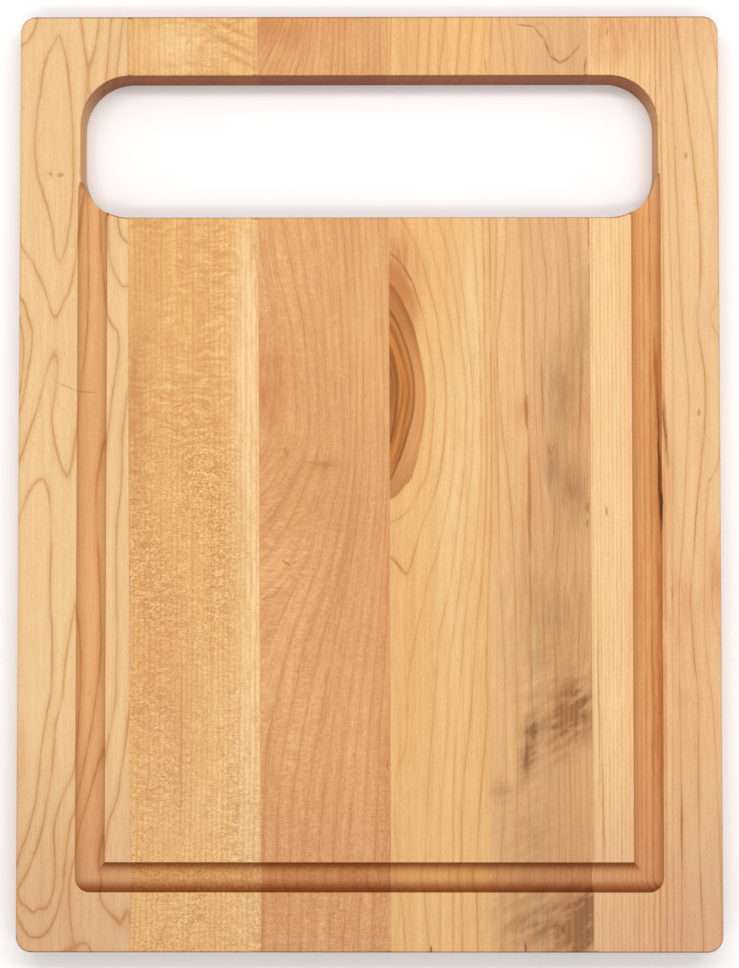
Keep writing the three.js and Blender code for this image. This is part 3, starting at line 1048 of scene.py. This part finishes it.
def slanting_streaks(wood, patchy):
    """Low on the board, streaks that climb to the right; higher up, the usual patches."""
    climb = wood.add(wood.mul(wood.y, 0.2), wood.mul(wood.x, -0.1))
    streak = wood.noise(wood.vector(wood.mul(wood.x, 0.1), climb, wood.seed), 3.0, 0.55)
    streak = wood.add(streak, wood.mul(wood.blotches(1.6, 30.0, 2.0, 0.5, 27.0), 0.3))
    low = wood.ramp(wood.y, -60.0, -85.0)
    return wood.mix(low, patchy, wood.ramp(streak, 0.3, 0.68, 0.3, 1.1))


def add_curl(wood, ripples, mottling):
    """Ripples across the grain and close mottling, which come and go along the stave."""
    warp = wood.noise(wood.vector(wood.mul(wood.x, 0.09), wood.mul(wood.y, 0.05), wood.seed), 2.0)
    down = wood.add(wood.mul(wood.y, 0.5), wood.mul(warp, 5.0))
    ripple = wood.noise(wood.vector(wood.mul(wood.fibre, 0.13), down, wood.seed), 3.0, 0.65)
    where = wood.noise(wood.vector(wood.mul(wood.x, 0.05), wood.mul(wood.y, 0.018), 3.0), 2.0)
    here = wood.ramp(where, 0.35, 0.65, 0.25, 1.0)
    dark = wood.mul(wood.ramp(ripple, 0.38, 0.68), here)
    wood.paint(wood.mul(dark, ripples), (214, 150, 90))
    light = wood.mul(wood.ramp(ripple, 0.5, 0.32), here)
    wood.paint(wood.mul(light, 0.6 * ripples), (252, 216, 158))
    mottle = wood.blotches(1.1, 0.75, 2.0, 0.6, 41.0)
    here = wood.mul(wood.ramp(wood.y, 45.0, -10.0, 0.3, 1.0), wood.ramp(where, 0.3, 0.7, 0.6, 1.2))
    dark = wood.mul(wood.ramp(mottle, -0.02, 0.22), here)
    wood.paint(wood.mul(dark, mottling), (198, 134, 84))
    light = wood.mul(wood.ramp(mottle, -0.02, -0.22), here)
    wood.paint(wood.mul(light, 0.7 * mottling), (255, 226, 178))


def add_knot(wood):
    """The half knot: dark heart, orange-brown wood, bold lines and red wood above it."""
    band = wood.vector(wood.mul(wood.ring, 4.0), wood.mul(wood.y, 0.025), wood.seed)
    streak = wood.math("SUBTRACT", wood.noise(band, 3.0, 0.6), 0.5)
    ring = wood.add(wood.ring, wood.mul(wood.rough, 0.25))
    outer = wood.between(wood.ramp(streak, -0.2, 0.2), (228, 162, 106), (208, 140, 86))
    outer = wood.mix(wood.ramp(wood.y, 22.0, -8.0, 0.0, 0.75), outer, oiled(190, 124, 72))
    shoulder = wood.between(wood.ramp(ring, 1.5, 2.0), (194, 122, 62), (172, 104, 52))
    outer = wood.mix(wood.ramp(wood.y, 40.0, 72.0), outer, shoulder)
    red = wood.mul(wood.ramp(ring, 3.1, 2.6), wood.ramp(wood.y, 66.0, 84.0))
    wood.paint(wood.mul(red, 0.85), (198, 122, 64))
    wood.cover(wood.ramp(ring, 2.06, 1.96), outer)
    inner = wood.between(wood.ramp(streak, -0.15, 0.2), (208, 130, 62), (164, 96, 38))
    wood.cover(wood.ramp(ring, 1.05, 0.95), inner)
    heart = wood.between(wood.ramp(streak, -0.2, 0.2), (186, 114, 50), (146, 84, 30))
    wood.cover(wood.ramp(ring, 0.06, -0.06), heart)
    bold = wood.ramp(wood.line_gap, 0.1, 0.85, 0.85, 0.0)
    rim = wood.mul(bold, wood.ramp(wood.nearest, 2.6, 2.4))
    rim = wood.mul(rim, wood.ramp(wood.y, 58.0, 80.0, 0.35, 1.0))
    wood.paint(wood.mul(rim, 0.8), (166, 96, 46))
    core = wood.mul(bold, wood.ramp(wood.nearest, 1.6, 1.4))
    core = wood.mul(core, wood.ramp(streak, -0.2, 0.15, 0.5, 1.0))
    wood.paint(wood.mul(core, 0.85), (138, 72, 20))


WHOLE_LENGTH = (205, 204)  # limits past the board's end: the tint is the same all along it
PLAIN = dict(
    light=(252, 216, 166), deep=(226, 172, 112), line=(196, 128, 66), shade=(216, 152, 92),
    line_width=0.6, line_strength=0.7, halo=2.2, halo_strength=0.35, line_fade=(0, 1, 1.0, 1.0),
    wobble=0.8, fine=1.1, medium=0.7, broad=0.7, grit=0.45, flecks=0.3, painted_foot_shade=(243, 238, 244),
    pale=(253, 222, 174), red=(216, 142, 86), grey=(124, 88, 60), brown=(176, 112, 62),
    dark=(112, 72, 44), across=[],
)
RECIPES = {
    "left_rail": dict(
        PLAIN, light=(245, 209, 164), deep=(226, 176, 126), line=(194, 128, 68), line_width=0.8,
        halo=2.6, halo_strength=0.4, wobble=1.2, painted_foot_shade=(239, 230, 238), pale=(248, 216, 174),
        brown=(180, 122, 76),
    ),
    "left_stave": dict(
        PLAIN, light=(251, 203, 138), deep=(215, 151, 88), line=(198, 138, 76), line_width=0.5,
        line_strength=0.35, halo=1.2, halo_strength=0.2, wobble=2.0, painted_foot_shade=(250, 250, 254),
        pale=(254, 220, 174), red=(214, 142, 92), curl=(0.8, 1.0),
    ),
    "middle_stave": dict(
        PLAIN, light=(242, 188, 134), deep=(202, 134, 80), line=(184, 116, 68),
        shade=(206, 136, 84), line_width=0.5, line_strength=0.42, wobble=1.4, fine=1.3,
        painted_foot_shade=(244, 239, 248), pale=(240, 190, 134), red=(206, 128, 76), curl=(0.25, 0.3),
    ),
    "right_stave": dict(
        PLAIN, light=(247, 199, 141), deep=(220, 164, 104), line_strength=0.62,
        halo_strength=0.3, medium=0.95, painted_foot_shade=(248, 248, 251), red=(206, 130, 78),
        grey=(146, 97, 63), knot=True,
        across=[
            (52, 54, *WHOLE_LENGTH, (253, 255, 270)), (62, 75, *WHOLE_LENGTH, (247, 243, 246)),
            (52.2, 53.8, -60, -190, (246, 242, 246)),
        ],
    ),
    "right_rail": dict(
        PLAIN, light=(255, 220, 172), deep=(238, 186, 132), line_strength=0.75,
        line_fade=(114, 126, 0.45, 1.0), painted_foot_shade=(236, 224, 234), dark=(82, 52, 30),
        across=[(122, 134, *WHOLE_LENGTH, (245, 240, 245))],
    ),
}


def glue_material():
    """Cured amber glue, sanded flush and oiled over."""
    glue = Nodes("cured_glue_film")
    cloud = glue.noise(glue.place(), 3.0, 0.6, 400.0)
    glue.colour = glue.mix(cloud, linear(206, 150, 92), linear(176, 116, 66))
    glue.shade(glue.ramp(glue.facing_end(), 0.1, 1.0), (150, 120, 100))
    glue.put(glue.shader, "Base Color", glue.colour)
    glue.put(glue.shader, "Roughness", glue.ramp(cloud, 0.2, 0.8, 0.35, 0.5))
    return glue.material


def floor_material():
    """A pale, even studio floor."""
    paper = Nodes("studio_floor")
    cloud = paper.noise(paper.place(), 2.0, 0.5, 3.0)
    colour = paper.mix(cloud, linear(230, 229, 230), linear(232, 231, 232))
    paper.put(paper.shader, "Base Color", colour)
    paper.put(paper.shader, "Roughness", 0.9)
    paper.put(paper.shader, "Specular IOR Level", 0.1)
    return paper.material


# ---- The board ----


def straight(start_x, spacing, bow):
    """Growth lines that run almost straight along the stave."""
    return lambda x, y: (x - start_x + bow * (y / HALF_LENGTH) ** 2) / spacing


FAN_SPACING = 2.6


def fanned(x, y):
    """Growth lines of the middle stave's bar: slanted at its left, upright at its right."""
    slant = 0.45 * (y - 190) * np.exp(-(((x + 47) / 20) ** 2))
    return (x + 47 - slant) / FAN_SPACING


def fanned_fibres(x, y):
    return fanned(x, y) * FAN_SPACING


def round_the_knot(x, y):
    """Fibres pushed aside by the half knot on the right stave's left edge."""
    bulge = 7.0 * np.exp(-(((y - 38) / 42) ** 2)) * np.exp(-(((x - 9) / 24) ** 2))
    return x - bulge


def middle_fibres(growth):
    return lambda x, y: growth(x, y) * 3.5


def figures():
    middle = Growth(MIDDLE_STAVE_LINES, squeeze=0.45)
    knot = Growth(RIGHT_STAVE_LINES)
    return {
        "left_rail": Figure("left_rail", Growth(LEFT_RAIL_LINES), tilt=-1.6, rise=0.02),
        "left_stave": Figure("left_stave", straight(-104.0, 2.3, 1.5), lean=0.5),
        "middle_stave": Figure("middle_stave", middle, lean=0.5, fibre=middle_fibres(middle)),
        "middle_bar": Figure("middle_stave", fanned, lean=0.5, fibre=fanned_fibres),
        "right_stave": Figure("right_stave", knot, lean=0.25, fibre=round_the_knot),
        "right_bar": Figure("right_stave", Growth(HANDLE_RIGHT_STAVE_LINES), lean=0.25),
        "right_rail": Figure("right_rail", Growth(RIGHT_RAIL_LINES), lean=0.4),
    }


# Node, figure, place from the left, kind and point spacing
PIECES = [
    ("left_rail_stave", "left_rail", 0, "rail", 1.5),
    ("handle_bar_left_stave", "left_stave", 1, "bar", 2.0),
    ("handle_bar_middle_stave", "middle_bar", 2, "bar", 2.0),
    ("handle_bar_right_stave", "right_bar", 3, "bar", 1.5),
    ("cutting_surface_left_stave", "left_stave", 1, "surface", 2.5),
    ("cutting_surface_middle_stave", "middle_stave", 2, "surface", 2.0),
    ("cutting_surface_right_stave", "right_stave", 3, "surface", 1.5),
    ("right_rail_stave", "right_rail", 4, "rail", 2.0),
]


def build_board():
    runs = figures()
    looks = {
        name: wood_material(name, 10.0 * i + 3.0, recipe)
        for i, (name, recipe) in enumerate(RECIPES.items())
    }
    seams = [None, *SEAMS, None]
    for node, run, place, kind, step in PIECES:
        figure = runs[run]
        rows, columns = grid_rows(step), grid_columns(step)
        left, right = seams[place], seams[place + 1]
        if kind == "rail":
            loop = rail_loop(-1 if left is None else 1, rows, columns)
        else:
            loop = middle_loop(left, right, kind, rows, columns)
        inner = piece_points(left, right, kind, rows, columns, step)
        name = node.replace("_stave", "_wood")
        mesh, places = wood_mesh(name, loop, inner)
        figure.paint(mesh, places)
        mesh.materials.append(looks[figure.look])
        wood = add_object(name, mesh)
        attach(wood, "root")
        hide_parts(node)


def finish_glue_lines():
    film = glue_material()
    for name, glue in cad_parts.items():
        if name.startswith("glue_line"):
            for slot in glue.material_slots:
                slot.material = film


# ---- Studio ----


FLOOR_REACH = 3.0
FLOOR_GAP = 0.0001  # between the floor and the board's underside


def add_camera():
    camera = add_object("camera", bpy.data.cameras.new("camera"))
    camera.location = (0.00457, -0.03427, 0.92419)
    camera.rotation_euler = [math.radians(a) for a in (2.081, 0.28, -0.016)]
    camera.data.lens = 77.7
    bpy.context.scene.camera = camera


def add_floor():
    mesh = bpy.data.meshes.new("floor")
    square = ((-1, -1), (1, -1), (1, 1), (-1, 1))
    corners = [(x * FLOOR_REACH, y * FLOOR_REACH, 0) for x, y in square]
    mesh.from_pydata(corners, [], [(0, 1, 2, 3)])
    mesh.materials.append(floor_material())
    floor = add_object("floor", mesh)
    floor.location.z = CAD_LOW.z - FLOOR_GAP


def add_softbox(name, place, target, width, height, power):
    data = bpy.data.lights.new(name, "AREA")
    data.shape = "RECTANGLE"
    data.size = width
    data.size_y = height
    data.energy = power
    light = add_object(name, data)
    light.location = place
    light.rotation_euler = (Vector(target) - Vector(place)).to_track_quat("-Z", "Y").to_euler()


def add_studio():
    add_floor()
    add_softbox("softbox_top", (0.04, 0.38, 1.0), (0, 0.1, 0), 1.2, 0.16, 5.9)
    add_softbox("softbox_bottom", (0.04, -0.4, 1.2), (0, -0.05, 0), 1.2, 0.16, 4.2)
    world = bpy.context.scene.world or bpy.data.worlds.new("studio")
    bpy.context.scene.world = world
    world.use_nodes = True
    background = world.node_tree.nodes["Background"]
    background.inputs["Color"].default_value = (1.0, 0.99, 0.98, 1.0)
    background.inputs["Strength"].default_value = 0.77
    bpy.context.scene.view_settings.view_transform = "Standard"


add_camera()
build_board()
finish_glue_lines()
add_studio()
